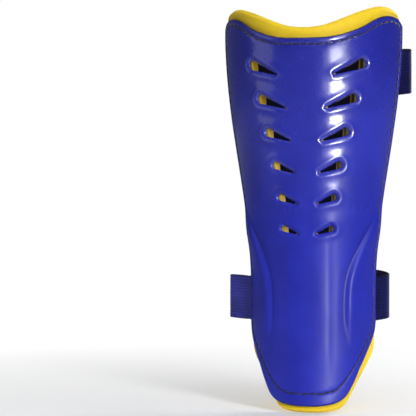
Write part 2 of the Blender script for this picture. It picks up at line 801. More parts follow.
def shell_relief(flat):
    """Height of the shell's outer skin above the plain gutter."""
    arc, z = flat[:, 0], flat[:, 1]
    h = -0.6 * falloff(distance(SHELL_EDGE, flat), 1.0)
    # slots: rounded lip with a low swell around it
    for slot in SLOTS:
        near = near_loop(slot, flat, 22)
        away = distance(slot, flat[near])
        h[near] += -1.05 * falloff(away, 1.5) + 0.30 * bell(away - 2.5, 1.0)
    h += wing_height(flat)
    # broad keel below the slots, with a shallow channel along it
    keel = (1 - smooth(11.2, 14.4, np.abs(arc))) * smooth(13, 36, z) * (1 - smooth(88, 108, z))
    h += 0.50 * keel
    h += -0.16 * bell(arc - 1.0, 5.5) * smooth(13, 36, z) * (1 - smooth(84, 100, z))
    # soft flattening of the crown between the slots
    h += -0.25 * bell(arc, 5.0) * smooth(91, 106, z) * (1 - smooth(190, 203, z))
    # seam groove and needle holes
    to_seam = distance(SEAM, flat)
    h += -0.38 * bell(to_seam, 0.75)
    near = to_seam < 1.6
    apart = flat[near][:, None] - NEEDLE_HOLES[None]
    h[near] += -0.35 * bell(np.sqrt((apart ** 2).sum(-1)).min(1), 0.55)
    h += 0.10 * fractal(flat, scale=34, seed=3.1) + 0.05 * fractal(flat, scale=11, seed=8.2)
    return h


def wing_rows():
    """Rows of points along the wing edges, clear of the rim and the seam."""
    along = np.gradient(WING_LINE, axis=0)
    along /= np.linalg.norm(along, axis=1)[:, None]
    to_rim = np.stack([-along[:, 1], along[:, 0]], -1)
    rows = []
    for offset in (-2.0, -1.3, -0.8, -0.4, 0.0, 0.4, 0.9, 1.5, 2.3):
        for side in SIDES:
            row = (WING_LINE + to_rim * offset) * np.array([side, 1.0])
            row = row[inside(SHELL_EDGE, row)]
            row = row[(distance(SHELL_EDGE, row) > 3.2) & (distance(SEAM, row) > 1.7)]
            if len(row) > 4:
                rows.append(row)
    return rows


def build_shell():
    seam_rows = [resample(SEAM + normals(SEAM) * offset, 1.05)
                 for offset in (-1.3, -0.7, -0.3, 0.0, 0.3, 0.7, 1.3)]
    flat, triangles, loops = planar_skin(
        SHELL_EDGE, [0.3, 0.65, 1.1, 1.9, 3.0], SLOTS, [0.3, 0.65, 1.05, 1.6, 2.4, 3.3],
        seam_rows + wing_rows(), GRID)
    relief = shell_relief(flat)

    def walls(index, ids):
        p = flat[ids]
        outward = -1 if index == 0 else 1
        return [surface(p + normals(p) * (outward * push), np.minimum(depth, relief[ids] - 0.1))
                for depth, push in ((-1.05, 0.10), (-1.6, 0.08))]

    verts, faces = close_skins(surface(flat, relief), surface(flat, -SHELL_T),
                               triangles, loops, walls)
    obj = mesh_object("shell_visual", verts, faces, [SHELL_PVC], 50)
    count = len(flat)

    rim = np.zeros(len(verts))
    rim[:count] = bell(distance(SHELL_EDGE, flat), 0.5)
    rim[2 * count:2 * count + 2 * len(loops[0])] = 1.0      # the two rows of the rim's wall
    set_attribute(obj, "rim", rim)

    edge = np.zeros(len(verts))
    front = edge[:count]
    for slot in SLOTS:
        near = near_loop(slot, flat, 20)
        front[near] = np.maximum(front[near], 0.6 * bell(distance(slot, flat[near]), 0.9))
    set_attribute(obj, "edge", edge)

    past, strength = wing_side(flat)
    fold = np.zeros(len(verts))
    fold[:count] = strength * bell(past + 1.0, 0.75)
    set_attribute(obj, "fold", fold)
    register(obj, ["shell"], "guard")


# ---------------------------------------------------------------------------
# Liner
# ---------------------------------------------------------------------------
def side_lip(arc, z):
    """1 where the soft rim rolls over the shell's side edge, 0 at the ends and at a strap."""
    m = (smooth(46, 54, z) * (1 - smooth(212, 217, z))
         * smooth(-3.0, -1.0, np.abs(arc) - edge_arc(z)))
    for strap_z in (UPPER_Z, LOWER_Z):
        m = m * smooth(13.2, 15.5, np.abs(z - strap_z))
    return m


LINER_EDGE = outline(liner_top, liner_bottom, 1.0)
LINER_EDGE[:, 0] += np.sign(LINER_EDGE[:, 0]) * side_lip(LINER_EDGE[:, 0], LINER_EDGE[:, 1])
# the liner's foot sits a little off centre
LINER_EDGE[:, 0] += 1.7 * (1 - smooth(26, 52, LINER_EDGE[:, 1]))
DISC_ARC, DISC_Z, DISC_R = 42.0, 210.5, 5.4     # round raised mark in one horn


def liner_rows():
    """Rows of points along the panel's crease, around the disc and beside the strap roots."""
    angles = np.linspace(0, 2 * pi, 40, endpoint=False)
    rings = [np.stack([DISC_ARC + r * np.cos(angles), DISC_Z + r * np.sin(angles)], -1)
             for r in (4.3, 4.8, 5.1, DISC_R, 5.8, 6.3)]
    disc = rings[3]
    crease_rows = [resample(CREASE + normals(CREASE) * offset, 1.2)
                   for offset in (-2.2, -1.4, -0.8, -0.3, 0.2, 0.7, 1.4, 2.4, 3.6)]
    rows = [row[distance(disc, row) > 1.4] for row in crease_rows] + rings
    for strap_z in (UPPER_Z, LOWER_Z):
        for offset in (-13.4, -12.6, 12.6, 13.4):
            z = strap_z + offset
            arc = np.arange(edge_arc(z) - 16, edge_arc(z) - 2.2, 1.2)
            for side in SIDES:
                row = np.stack([side * arc, np.full(len(arc), z)], -1)
                rows.append(row[distance(CREASE, row) > 1.0])
    return rows


def liner_outer(flat, to_edge):
    """Outer skin: flat against the shell, standing a little proud beyond the shell's edge."""
    arc, z = flat[:, 0], flat[:, 1]
    beyond = distance(SHELL_EDGE, flat) * np.where(inside(SHELL_EDGE, flat), -1, 1)
    lip = side_lip(arc, z)
    proud = 1.25 * smooth(0.5, 2.6, beyond) - 1.2 * falloff(to_edge, 1.5)
    rolled = 1.55 * smooth(0.18, 0.5, beyond) - 0.45 * falloff(to_edge, 0.6)
    out = -SHELL_T - GAP - 0.02 + proud * (1 - lip)
    out = out + lip * rolled
    # pockets that hold the strap roots
    for strap_z in (UPPER_Z, LOWER_Z):
        pocket = (smooth(-15.6, -14.6, np.abs(arc) - edge_arc(z))
                  * (1 - smooth(12.6, 13.4, np.abs(z - strap_z))))
        out = out - pocket * (STRAP_T + 0.12)
    # the foam swells a little into the slots
    for slot in SLOTS:
        near = near_loop(slot, flat, 20)
        part = flat[near]
        out[near] += 0.35 * (inside(slot, part) * smooth(0.6, 2.0, distance(slot, part)))
    return out


def liner_inner(flat, to_edge, in_panel, fade, from_disc):
    """Inner skin: a padded panel inside a groove, more negative towards the leg."""
    border = -6.0 + 1.3 * falloff(to_edge, 2.0)
    pillow = -((0.45 + 0.55 * fade) * 0.9 * smooth(0.4 - 3 * (1 - fade), 3.2 + 3 * (1 - fade),
                                                   in_panel)
               + 0.35 * smooth(3.0, 14.0, in_panel))
    groove = 0.85 * fade * bell(in_panel - 0.1, 0.85)
    out = border + pillow + groove
    out += -0.55 * (1 - smooth(4.9, DISC_R, from_disc)) + 0.40 * bell(from_disc - 5.7, 0.35)
    out += 0.13 * fractal(flat, scale=26, seed=5.3)
    for hole in FOAM_HOLES:
        near = near_loop(hole, flat, 14)
        out[near] += 0.55 * falloff(distance(hole, flat[near]), 1.3)
    return out


def vent_soiling(flat, loops, total):
    """Dark soiling of the foam in and around its vents, uneven between the two sides."""
    count = len(flat)
    soil = np.zeros(total)
    front, back = soil[:count], soil[count:2 * count]

    def outward(arc, middle):
        return smooth(-4.0, 2.5, (arc - middle) * np.sign(middle))

    for hole in FOAM_HOLES:
        near = near_loop(hole, flat, 20)
        arc, middle = flat[near, 0], hole[:, 0].mean()
        depth = bell(distance(hole, flat[near]), 3.0 if middle > 0 else 1.6)
        out = outward(arc, middle)
        amount = np.where(arc > 0, 0.25 + 0.72 * out, 0.12 + 0.34 * (1 - out))
        front[near] = np.maximum(front[near], amount * depth)
        back[near] = np.maximum(back[near], 0.30 * depth ** 4)
    at = 2 * count + 3 * len(loops[0])      # the holes' wall points follow the edge's three rows
    for hole, loop in zip(FOAM_HOLES, loops[1:]):
        middle = hole[:, 0].mean()
        out = outward(flat[loop, 0], middle)
        amount = 0.45 + 0.52 * out if middle > 0 else 0.88 - 0.55 * out
        for _ in range(2):
            soil[at:at + len(loop)] = amount
            at += len(loop)
    return soil


def build_liner():
    flat, triangles, loops = planar_skin(
        LINER_EDGE, [0.35, 0.75, 1.25, 1.9, 2.8], FOAM_HOLES, [0.35, 0.8, 1.5],
        liner_rows(), GRID * 1.05)
    to_edge = distance(LINER_EDGE, flat)
    in_panel = distance(CREASE, flat) * np.where(inside(CREASE, flat), 1, -1)
    fade = 1 - smooth(176, 198, flat[:, 1])     # the panel's outline dies out in the horns
    from_disc = np.hypot(flat[:, 0] - DISC_ARC, flat[:, 1] - DISC_Z)
    outer = liner_outer(flat, to_edge)
    inner = liner_inner(flat, to_edge, in_panel, fade, from_disc)
    # wall rows: (fraction from outer to inner skin, bulge)
    edge_wall = ((0.2, 0.34), (0.5, 0.48), (0.8, 0.34))
    hole_wall = ((0.33, 0.0), (0.66, 0.0))

    def walls(index, ids):
        p = flat[ids]
        return [surface(p - normals(p) * bulge, outer[ids] * (1 - f) + inner[ids] * f)
                for f, bulge in (hole_wall if index else edge_wall)]

    verts, faces = close_skins(surface(flat, outer), surface(flat, inner),
                               triangles, loops, walls)
    obj = mesh_object("liner_visual", verts, faces, [FOAM], 55)
    n = len(flat)
    crease = np.zeros(len(verts))
    crease[n:2 * n] = np.maximum(0.8 * fade * bell(in_panel - 0.1, 1.2),
                                 0.55 * bell(from_disc - 5.6, 0.6))
    edge = np.zeros(len(verts))
    edge[n:2 * n] = np.clip(1 - to_edge / 1.6, 0, 1)
    edge[2 * n:2 * n + len(edge_wall) * len(loops[0])] = 1.0
    set_attribute(obj, "hole", vent_soiling(flat, loops, len(verts)))
    set_attribute(obj, "crease", crease)
    set_attribute(obj, "edge", edge)
    register(obj, ["foam_liner"], "guard")


# ---------------------------------------------------------------------------
# Threads
# ---------------------------------------------------------------------------
TWIST, STRANDS, STRAND_DEPTH = 2.2, 3, 0.16     # radians per mm, count, share of the radius


def quad_rows(rows, sides):
    """Side faces of a tube of closed rings."""
    faces = []
    for i in range(rows - 1):
        for j in range(sides):
            k = (j + 1) % sides
            faces.append((i * sides + j, i * sides + k, (i + 1) * sides + k,
                          (i + 1) * sides + j))
    return faces


def tube_faces(rows, sides):
    """Side faces and both end caps."""
    return quad_rows(rows, sides) + [tuple(range(sides))[::-1],
                                     tuple(range((rows - 1) * sides, rows * sides))]


def thread(path, thickness, sides):
    """Twisted thread along a path, thinner at its ends. Returns verts and faces."""
    path = np.asarray(path, float)
    n = len(path)
    along = unit(np.gradient(path, axis=0))
    up = np.array([0.0, 0.0, 1.0]) if abs(along[0][2]) < 0.9 else np.array([1.0, 0, 0])
    across = unit(np.cross(along, up))
    other = np.cross(along, across)
    s = np.r_[0, np.cumsum(np.linalg.norm(np.diff(path, axis=0), axis=1))]
    angle = np.linspace(0, 2 * pi, sides, endpoint=False)
    verts = []
    for i in range(n):
        taper = 0.62 + 0.38 * sin(pi * (i / (n - 1))) ** 0.5
        r = thickness * taper * (1 + STRAND_DEPTH * np.cos(STRANDS * (angle - TWIST * s[i])))
        verts.append(path[i] + r[:, None] * (np.cos(angle)[:, None] * across[i]
                                             + np.sin(angle)[:, None] * other[i]))
    return np.vstack(verts), tube_faces(n, sides)


def fibre_tube(path, thickness, sides):
    """Thin closed fibre with a narrow tip."""
    n = len(path)
    along = unit(np.gradient(path, axis=0))
    across = unit(np.cross(along, np.array([0.31, 0.52, 0.79])))
    other = np.cross(along, across)
    angle = np.linspace(0, 2 * pi, sides, endpoint=False)
    r = thickness * np.r_[np.ones(n - 1), 0.45]
    ring = (np.cos(angle)[None, :, None] * across[:, None]
            + np.sin(angle)[None, :, None] * other[:, None])
    return (path[:, None] + r[:, None, None] * ring).reshape(-1, 3), tube_faces(n, sides)


def build_edge_stitches():
    front, rear, pulled = [], [], []
    pitch = SEAM_LENGTH / STITCH_COUNT
    for k in range(STITCH_COUNT):
        start = k * pitch
        # the stitches show most along top and bottom
        at_end = seam_at(start)[1] > 200 or seam_at(start)[1] < 14
        u = np.linspace(0.06 + RNG.uniform(-0.05, 0.07), 0.94 + RNG.uniform(-0.08, 0.05), 9)
        shift = RNG.normal(0, 0.20 if at_end else 0.10)
        line = seam_at(start + u * pitch)
        lift = np.sin(np.pi * u)
        base = wing_height(line) - 0.40
        shifted = line + np.array([0, shift])
        front.append(thread(surface(shifted, base + 0.42 * lift - 0.20),
                            0.50 if at_end else 0.43, 8))
        middle = seam_at(start + 0.5 * pitch)
        low = middle[1] < 14 and -14 < middle[0] < 10
        if low and RNG.random() < 0.72:
            loose = line + np.stack([np.zeros(9), 0.35 * np.sin(u * 9 + k)], -1)
            pulled.append(thread(surface(loose, -5.9 - 0.5 * lift), 0.42, 8))
        else:
            rear.append(thread(surface(shifted, -5.72 - 0.34 * lift), 0.34, 8))
    obj = mesh_object("edge_thread_front", *join_parts(front), [THREAD_NAVY])
    register(obj, ["edge_stitching"], "guard")
    obj = mesh_object("edge_thread_rear", *join_parts(rear), [THREAD_OCHRE])
    register(obj, ["edge_stitching_rear"], "guard")
    if pulled:      # how many there are is drawn at random
        obj = mesh_object("edge_thread_rear_pulled", *join_parts(pulled), [THREAD_NAVY])
        register(obj, rider="guard")


build_shell()
build_liner()
build_edge_stitches()

# ---------------------------------------------------------------------------
# Straps: woven elastic ribbons swept along the CAD paths
# ---------------------------------------------------------------------------
SUB, FINE = 6, 5            # index steps to a control span, path points to a step
HINGE_REACH = 3.0           # from the rim to the first free control point
ANCHOR_LEN = 15.0           # sewn-in length behind the rim
PATCH_W = 21.5
BOND = 0.06                 # between webbing and patch
ROOT_OUT = -SHELL_T - GAP - STRAP_T / 2
STRAP_STEP = 0.8
HEM_R = 0.78                # radius of the turned hem
STITCH_PITCH = 2.5


class Strap:
    """A ribbon's middle sheet, sampled by arc length s from the rim and width v."""

    def __init__(self, side, z, controls, bend):
        root_r = radius(z) + ROOT_OUT
        hinge = WRAP + HINGE_REACH / root_r
        roots = [surface_at_angle(side * a, z, ROOT_OUT) for a in (hinge - radians(4), hinge)]
        path = spline(np.array(roots + [np.array((x, y, z + h)) for x, y, h in controls]),
                      SUB * FINE)
        i = np.arange(len(path)) / FINE
        before = np.maximum(np.arange(len(path)) - FINE, 0)
        after = np.minimum(np.arange(len(path)) + FINE, len(path) - 1)
        along = unit(path[after] - path[before])
        # the width follows the rim's lean at the root and squares up to the path past the bend
        lean = (side * (half_width(z + 4) - half_width(z - 4)) / 8
                * np.maximum(0, 1 - (i - SUB) / (2 * SUB)))
        rim_way = np.stack([lean, np.zeros(len(i)), np.ones(len(i))], -1)
        square = (0.2 + 0.8 * smooth(bend, bend + 2 * SUB, i))[:, None]
        across = unit(rim_way - square * (rim_way * along).sum(-1, keepdims=True) * along)

        self.widths = np.linspace(-12.5, 12.5, 11)
        columns, index = [], []
        for back in np.arange(ANCHOR_LEN, -0.01, -1.0):
            angle = side * (WRAP - back / root_r)
            columns.append(surface_at_angle(angle, z + self.widths, ROOT_OUT))
            index.append(SUB - (HINGE_REACH + back) / 100.0)
        for k in range(SUB * FINE, len(path)):
            columns.append(path[k] + self.widths[:, None] * across[k])
            index.append(i[k])
        columns, self.index = np.array(columns), np.array(index)
        steps = np.linalg.norm(np.diff(columns[:, 5], axis=0), axis=1)
        s = np.r_[0, np.cumsum(steps)]
        s -= float(np.interp(SUB - HINGE_REACH / 100.0, self.index, s))
        self.index_s = s

        count = int((s[-1] - s[0]) / STRAP_STEP)
        self.s = np.linspace(s[0], s[-1], count)
        sheet = np.empty((count, len(self.widths), 3))
        for j in range(len(self.widths)):
            for k in range(3):
                sheet[:, j, k] = np.interp(self.s, s, columns[:, j, k])
        for _ in range(7):
            sheet[1:-1] = 0.5 * sheet[1:-1] + 0.25 * (sheet[:-2] + sheet[2:])
        self.sheet = sheet
        tangent = np.gradient(sheet, axis=0)
        self.normal = unit(np.cross(np.gradient(sheet, axis=1), tangent))
        self.tangent = unit(tangent)
        self.end = self.s[-1]

    def s_of(self, index):
        return float(np.interp(index, self.index, self.index_s))

    def sample(self, table, s, v):
        """Bilinear lookup of a table; the sheet itself carries on straight past its edges."""
        fi = np.interp(s, self.s, np.arange(len(self.s)))
        fj = np.interp(v, self.widths, np.arange(len(self.widths)))
        i = np.minimum(fi.astype(int), len(self.s) - 2)
        j = np.minimum(fj.astype(int), len(self.widths) - 2)
        a, b = (fi - i)[:, None], (fj - j)[:, None]
        p = ((1 - a) * (1 - b) * table[i, j] + a * (1 - b) * table[i + 1, j]
             + (1 - a) * b * table[i, j + 1] + a * b * table[i + 1, j + 1])
        if table is self.sheet:
            over = v - np.clip(v, self.widths[0], self.widths[-1])
            p = p + over[:, None] * unit(table[i, -1] - table[i, 0])
        return p

    def at(self, s, v, out):
        """Points offset out from the sheet; past the end the ribbon turns back under itself."""
        s, v, out = [np.asarray(x, float).ravel() for x in np.broadcast_arrays(s, v, out)]
        past = s - self.end
        base = np.minimum(s, self.end) - np.maximum(past - pi * HEM_R, 0)
        p = self.sample(self.sheet, base, v)
        normal = unit(self.sample(self.normal, base, v))
        tangent = unit(self.sample(self.tangent, base, v))
        turn = np.clip(past / HEM_R, 0, pi)
        cos_turn, sin_turn = np.cos(turn)[:, None], np.sin(turn)[:, None]
        p = p + (tangent * sin_turn * HEM_R + normal * ((cos_turn - 1) * HEM_R))
        return p + out[:, None] * (normal * cos_turn + tangent * sin_turn)


def section(width, thick, rib, per, ribs):
    """Half section of a ribbon: widths and half thicknesses, ribbed, with rounded edges."""
    count = ribs * per
    v = np.linspace(-width / 2, width / 2, count + 1)
    u = (v / width + 0.5) * ribs
    h = thick / 2 - rib + rib * np.abs(np.sin(pi * u)) ** 0.8 * 2.0 - rib * 0.6
    inward = np.clip((width / 2 - np.abs(v)) / 0.55, 0, 1)
    round_off = np.sqrt(np.clip(1 - (1 - inward) ** 2, 0, 1))
    return v, h * (0.06 + 0.94 * round_off)


def ribbon(strap, start, end, seed, width=STRAP_W, thick=STRAP_T, rib=0.075, out=0.0,
           step=STRAP_STEP, wobble=0.10, pinch=None, per=5, ribs=15, taper_end=False):
    """Closed ribbon with ribs along it. Returns verts, faces and strap UVs in millimetres.

    rib is the rib height, ribs their count and per the points to a rib; pinch(s, v) thins it.
    """
    v, h = section(width, thick, rib, per, ribs)
    count = len(v)
    rows = max(2, int(round((end - start) / step)) + 1)
    at_edge = np.clip((np.abs(v) - width / 2 + 0.5) / 0.5, 0, 1)
    verts, uvs = [], []
    for s in np.linspace(start, end, rows):
        ripple = 0.10 * sin(s * 2 * pi / 1.9) * at_edge * np.sign(v)
        sway = wobble * noise.noise(Vector((s / 17.0, seed, 0.0)))
        across = v * (1.0 + 0.004 * sin(s / 3.1 + seed)) + ripple + sway * 0.5
        half = h.copy()
        if pinch is not None:
            half = half * pinch(s, v)
        if taper_end:
            half = half * (0.45 + 0.55 * float(smooth(0, 1.2, end - s)))
        wave = wobble * np.array([noise.noise(Vector((s / 13.0, x / 11.0, seed + 4.0)))
                                  for x in v[::5]])
        wave = np.interp(v, v[::5], wave)
        verts.append(strap.at(s, across, out + wave + half))
        verts.append(strap.at(s, across[::-1], out + wave[::-1] - half[::-1]))
        uvs.append(np.stack([np.full(count, s), v], -1))
        uvs.append(np.stack([np.full(count, s), v[::-1]], -1))
    ring = 2 * count
    faces = quad_rows(rows, ring)
    for base, flip in ((0, False), ((rows - 1) * ring, True)):
        for j in range(count - 1):
            f = (base + j, base + ring - 1 - j, base + ring - 2 - j, base + j + 1)
            faces.append(f[::-1] if flip else f)
    return np.vstack(verts), faces, np.vstack(uvs)


def strap_object(name, verts, faces, uvs, materials):
    obj = mesh_object(name, verts, faces, materials, 60)
    mesh = obj.data
    layer = mesh.uv_layers.new(name="strap")
    corners = np.empty(len(mesh.loops), np.int32)
    mesh.loops.foreach_get("vertex_index", corners)
    layer.data.foreach_set("uv", uvs[corners].astype(np.float32).ravel())
    return obj


def patch_object(name, backing, fibres, materials):
    """Backing ribbon and its fibres in one mesh; only the backing has strap UVs."""
    verts, faces = join_parts([backing[:2]] + fibres)
    uvs = np.zeros((len(verts), 2))
    uvs[:len(backing[2])] = backing[2]
    return strap_object(name, verts, faces, uvs, materials)


def stitches(strap, s, v, out, thickness=0.35, lift=0.24, flip=1):
    """A row of stitches: along the strap when s is a pair, across it when v is."""
    across = isinstance(v, tuple)
    (start, end), fixed = (v, s) if across else (s, v)
    scatter, slant = (0.07, 0.20) if across else (0.08, 0.24)
    count = max(2, int(round(abs(end - start) / STITCH_PITCH)))
    up = out + flip * (lift * np.sin(np.pi * np.linspace(0, 1, 7)) - 0.10)
    parts = []
    for k in range(count):
        u = np.linspace(k + 0.18, k + 0.84, 7) / count
        run = start + (end - start) * u
        side = fixed + RNG.normal(0, scatter) + np.linspace(-slant, slant, 7)
        a, b = (side, run) if across else (run, side)
        parts.append(thread(strap.at(a, b, up), thickness, 6))
    return parts


def box_stitches(strap, start, end, last_row, under, under_size):
    """Box of stitches round a patch, on the outer face and on the patch itself.

    under is the offset of the patch's face, under_size the thread's radius and lift there.
    """
    parts = []
    faces = ((1, STRAP_T / 2 - 0.02, (0.35, 0.24)), (-1, under, under_size))
    for flip, out, (thickness, lift) in faces:
        look = dict(out=out, thickness=thickness, lift=lift, flip=flip)
        for v in (-9.9, 9.9):
            parts += stitches(strap, (start + 0.8, end - 0.8), v, **look)
        for s in (start + 0.8, last_row):
            parts += stitches(strap, s, (-9.6, 9.6), **look)
    return parts


# Control points: (x, y, height above the strap's root)
STRAPS = {
    "upper_loop": Strap(1, UPPER_Z, [
        (51.2, 6.6, 0.6), (54.7, 10.0, 1.4), (52.6, 14.2, 2.2), (45.2, 14.6, 2.2),
        (35, 10.6, 0.8), (25, 6.8, -0.8), (13, 4.9, -2.0), (0, 4.3, -3.4), (-13, 4.4, -5.2),
        (-26, 5.2, -7.6)], bend=4 * SUB),
    "upper_hook": Strap(-1, UPPER_Z, [
        (-49.7, 7.0, 2.4), (-50.4, 10.8, 4.7), (-46.6, 14.4, 6.8), (-39.0, 13.6, 8.2),
        (-31, 11.0, 7.9), (-24.5, 9.1, 6.8), (-13, 8.1, 5.4), (0, 8.0, 4.8), (12, 8.6, 4.6),
        (23, 11.0, 5.2)], bend=4 * SUB),
    "lower_loop": Strap(1, LOWER_Z, [
        (37.0, 5.6, 0.4), (41.8, 9.6, 1.2), (40.6, 14.6, 2.4), (34.4, 15.8, 3.6),
        (27, 12.4, 5.0), (18, 8.0, 7.0), (8, 5.6, 8.8), (-4, 4.9, 10.6),
        (-15.5, 5.4, 12.2)], bend=4 * SUB),
    "lower_hook": Strap(-1, LOWER_Z, [
        (-40.0, 4.6, 0.2), (-47.0, 7.4, 0.6), (-49.4, 12.6, 0.6), (-43.6, 16.6, 0.0),
        (-32.5, 14.4, -0.8), (-21, 10.2, -0.6), (-9, 8.8, 2.2), (3, 9.0, 4.6),
        (14.5, 11.2, 7.6), (27.0, 17.2, 11.4)], bend=5 * SUB),
}
# Blends between moving parts: pivot on the strap's outer face, direction of the run, and
# where along it the blend ends. All start BLEND_START from the pivot.
SWING = {
    "upper_hook": ((-46.793, 15.176, 195.8), (0.70, 0.70, 0.0), 4.0),
    "lower_hook": ((-43.685, 17.396, 61.0), (0.50, 0.866, 0.0), 3.0),
    "upper_loop": ((52.964, 14.912, 191.2), (-0.70, 0.70, 0.0), 4.0),
    "lower_loop": ((41.119, 15.209, 63.4), (-0.70, 0.70, 0.0), 4.0),
}
PEEL = {
    "upper_hook": ((-24.371, 9.889, 195.8), (0.976, -0.160, -0.143), 4.0),
    "lower_hook": ((-20.807, 10.976, 60.4), (0.963, -0.239, 0.127), 4.0),
}
PATCH_START = {"upper_loop": 7 * SUB + 2, "lower_loop": 6 * SUB + 4}    # path index
FOLD = 7 * SUB                                                          # path index
# One hook: (share of its lean, height off the tape)
HOOK_PROFILE = np.array([(0, 0.05), (0.02, -0.22), (0.30, -0.40), (0.75, -0.42), (1.0, -0.24)])


def blend_parts(obj, spec):
    pivot, way, end = spec
    pivot, way = np.array(pivot), np.array(way) / np.linalg.norm(way)
    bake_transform(obj)


def build_webbing(key, end, seed, taper_end=False):
    """Sewn-in end, bulge and run."""
    verts, faces, uvs = ribbon(STRAPS[key], -ANCHOR_LEN + 0.2, end, seed, taper_end=taper_end)
    obj = strap_object(f"{key}_webbing", verts, faces, uvs, [WEBBING])
    register(obj, [f"{key}_strap_anchor", f"{key}_strap"])
    blend_parts(obj, SWING[key])


def build_tab(key, start, fold, seed):
    """Free end of a hook strap, with its hem turned under and pressed in by the stitching."""
    strap = STRAPS[key]

    def pinch(s, v):
        sewn = float(fold + 1.5 < s < strap.end - 0.2)
        return 1.0 - 0.22 * bell(np.abs(v) - 9.9, 0.55) * sewn

    verts, faces, uvs = ribbon(strap, start, strap.end + pi * HEM_R + 6.2, seed, pinch=pinch,
                               step=0.62)
    obj = strap_object(f"{key}_tab", verts, faces, uvs, [WEBBING])
    register(obj, [f"{key}_strap_tab"])
    blend_parts(obj, PEEL[key])


def build_hook_patch(key, start, end, out, seed):
    """Backing tape and staggered rows of small hooks that lean both ways."""
    strap = STRAPS[key]
    backing = ribbon(strap, start, end, seed, width=PATCH_W, thick=0.38, rib=0.02, out=out,
                     per=3, ribs=10)
    hooks = []
    for i, s in enumerate(np.arange(start + 0.9, end - 0.6, 1.28)):
        for j, v in enumerate(np.arange(-9.4, 9.41, 1.18)):
            v = v + (0.59 if i % 2 else 0.0) + RNG.normal(0, 0.04)
            if abs(v) > 9.6:
                continue
            lean = (1 if j % 2 else -1) * 0.34
            share, height = HOOK_PROFILE[:, 0], HOOK_PROFILE[:, 1]
            path = strap.at(s + share * lean, v + share * 0.08, out - 0.17 + height)
            hooks.append(fibre_tube(path, 0.11, 4))
    obj = patch_object(f"{key}_tape", backing, hooks, [HOOK_TAPE])
    register(obj, [f"{key}_patch"])
    blend_parts(obj, PEEL[key])


def build_hook_strap(key, seed):
    strap = STRAPS[key]
    fold = strap.s_of(FOLD)
    cut = fold - 2.4
    build_webbing(key, cut, seed)
    build_tab(key, cut, fold, seed)
    start, end = fold + 0.9, strap.end - 7.6
    out = -STRAP_T / 2 - BOND - 0.19
    build_hook_patch(key, start, end, out, seed)
    # box round the patch, then a row through both faces of the hem
    parts = box_stitches(strap, start, end, end - 0.8, out - 0.11, (0.23, 0.10))
    hem_s, hem_v = strap.end - 4.3, (-11.2, 11.2)
    parts += stitches(strap, hem_s, hem_v, STRAP_T / 2 - 0.02)
    parts += stitches(strap, hem_s, hem_v, -STRAP_T / 2 - 2 * HEM_R + 0.02, flip=-1)
    obj = mesh_object(f"{key}_thread", *join_parts(parts), [THREAD_BLUE])
    register(obj, [f"{key}_stitching"])
    blend_parts(obj, PEEL[key])


def build_loop_patch(key, start, end, out, seed):
    """Backing and a pile of bent fibres."""
    strap, half = STRAPS[key], PATCH_W / 2
    backing = ribbon(strap, start, end, seed, width=PATCH_W, thick=0.66, rib=0.03, out=out,
                     per=4, ribs=12, wobble=0.12, step=0.7)
    fibres = []
    t = np.linspace(0, 1, 5)
    for _ in range(1500):
        s = RNG.uniform(start + 0.4, end - 0.4)
        v = RNG.uniform(-half + 0.3, half - 0.3)
        angle = RNG.uniform(0, 2 * pi)
        length = RNG.uniform(0.5, 1.25)
        height = RNG.uniform(0.16, 0.42)
        x = s + length * np.cos(angle + 0.9 * t) * t
        y = np.clip(v + length * np.sin(angle + 0.9 * t) * t, -half, half)
        path = strap.at(np.clip(x, start, end), y, out - 0.30 - height * np.sin(pi * t) + 0.05)
        fibres.append(fibre_tube(path, 0.055, 3))
    obj = patch_object(f"{key}_pile", backing, fibres, [LOOP_PILE, LOOP_FIBRE])
    material_index = np.ones(len(obj.data.polygons), np.int32)
    material_index[:len(backing[1])] = 0
    obj.data.polygons.foreach_set("material_index", material_index)
    register(obj, [f"{key}_patch"], f"{key}_band")


def build_loop_strap(key, seed):
    strap = STRAPS[key]
    build_webbing(key, strap.end, seed, taper_end=True)
    start, end = strap.s_of(PATCH_START[key]), strap.end - 1.2
    out = -STRAP_T / 2 - BOND - 0.33
    build_loop_patch(key, start, end, out, seed)
    parts = box_stitches(strap, start, end, end - 1.0, out - 0.34, (0.26, 0.14))
    obj = mesh_object(f"{key}_thread", *join_parts(parts), [THREAD_BLUE])
    register(obj, [f"{key}_stitching"], f"{key}_band")


build_hook_strap("upper_hook", seed=1.3)
build_hook_strap("lower_hook", seed=5.1)
build_loop_strap("upper_loop", seed=2.7)
build_loop_strap("lower_loop", seed=7.9)


# ---------------------------------------------------------------------------
# Stage, in metres
# ---------------------------------------------------------------------------
def stage_mesh(name, verts, faces, material):
    mesh = bpy.data.meshes.new(name)
    mesh.from_pydata(verts, [], faces)
    mesh.materials.append(material)
    obj = bpy.data.objects.new(name, mesh)
    bpy.context.scene.collection.objects.link(obj)
    return obj


def make_floor_material():
    """Pale floor that fades into the white surround away from the middle."""
    dark, light = (0.84, 0.84, 0.84), (0.87, 0.87, 0.87)
    g = new_nodes("floor_white")
    diffuse = g.node("ShaderNodeBsdfDiffuse")
    mask = g.ramp(g.noise(scale=2.5, detail=2), start=0.3, end=0.7)
    g.link(g.mix(mask, dark, light), diffuse.inputs[0])
    # far off, white to the camera and dim to everything else
    glow = g.source("ShaderNodeEmission", strength=1.0)
    dim = g.source("ShaderNodeEmission", strength=0.22)
    camera_ray = g.node("ShaderNodeLightPath").outputs["Is Camera Ray"]
    far = g.mix_shader(camera_ray, dim, glow)
    length = g.node("ShaderNodeVectorMath", operation="LENGTH")
    g.link(g.coords(), length.inputs[0])
    away = g.ramp(length.outputs["Value"], start=0.10, end=0.42)
    return g.end(g.mix_shader(away, diffuse.outputs[0], far))


